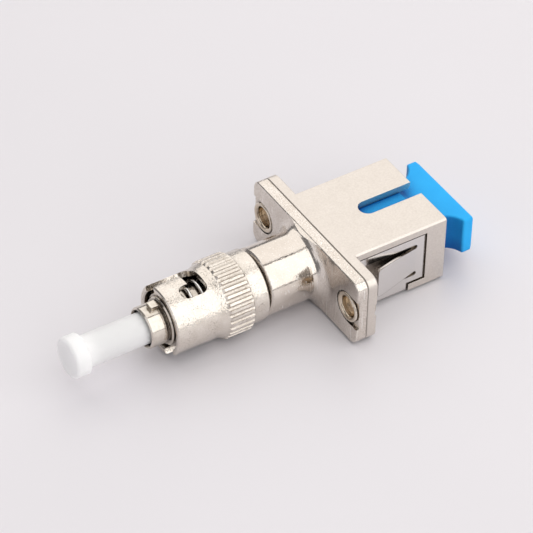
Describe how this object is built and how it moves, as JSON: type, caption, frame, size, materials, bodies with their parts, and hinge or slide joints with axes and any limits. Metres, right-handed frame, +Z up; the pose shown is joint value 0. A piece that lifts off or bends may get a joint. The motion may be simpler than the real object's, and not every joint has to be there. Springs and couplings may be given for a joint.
{
  "type": "st to sc fibre adapter",
  "caption": "Hybrid fibre adapter: spring-loaded bayonet plug and square push-pull port on a riveted panel flange, with both dust caps fitted.",
  "frame": {"origin": "on the light path, in the rear face of the flange, which sits against the panel", "axes": "+X along the light path towards the square port, +Y to the left, +Z up, to the side of the keyway"},
  "size_m": [0.0507, 0.022, 0.0094],
  "materials": {
    "bright_nickel": "glossy warm nickel plate on a die casting",
    "satin_nickel": "fine blasted satin nickel plate on a die casting",
    "nut_nickel": "satin nickel plate with a fine speckle",
    "plug_nickel": "turned and nickel plated, half gloss",
    "brass": "thin pale plate over brass, glossy",
    "clip_steel": "bright rolled spring steel",
    "ring_steel": "punched steel, plated",
    "spring_wire": "drawn steel wire",
    "insert_plastic": "moulded, milky",
    "ceramic": "ground and polished ceramic",
    "glass_fibre": "bare glass fibre",
    "white_plastic": "soft white moulding, slightly clear",
    "blue_plastic": "satin blue moulding"
  },
  "bodies": {
    "housing": {"front_shell": "bright_nickel", "rear_shell": "satin_nickel", "left_eyelet": "brass", "right_eyelet": "brass", "panel_clip": "clip_steel", "latch_insert": "insert_plastic", "sleeve_holder": "insert_plastic", "split_sleeve": "ceramic", "ferrule": "ceramic", "fibre": "glass_fibre", "ferrule_collar": "plug_nickel", "plug_body": "plug_nickel", "lock_ring": "brass", "spring_seat_washer": "ring_steel", "retaining_ring": "ring_steel", "nut_spring": "spring_wire"},
    "nut_carrier": {"thrust_washer": "ring_steel"},
    "nut": {"coupling_nut": "nut_nickel"},
    "cap": {"ferrule_cap": "white_plastic"},
    "dust_plug": {"port_plug": "blue_plastic"}
  },
  "joints": [
    {"name": "nut_pull", "type": "slide", "parent": "housing", "child": "nut_carrier", "axis": [-1, 0, 0], "range_m": [0, 0.002], "stiffness_N_per_m": 800, "springref_m": -0.0015, "deforming": ["nut_spring"]},
    {"name": "nut_turn", "type": "hinge", "parent": "nut_carrier", "child": "nut", "pos_m": [-0.0119, 0, 0], "axis": [-1, 0, 0], "continuous": true},
    {"name": "cap_pull", "type": "slide", "parent": "housing", "child": "cap", "axis": [-1, 0, 0], "range_m": [0, 0.008]},
    {"name": "plug_pull", "type": "slide", "parent": "housing", "child": "dust_plug", "axis": [1, 0, 0], "range_m": [0, 0.0105]}
  ]
}
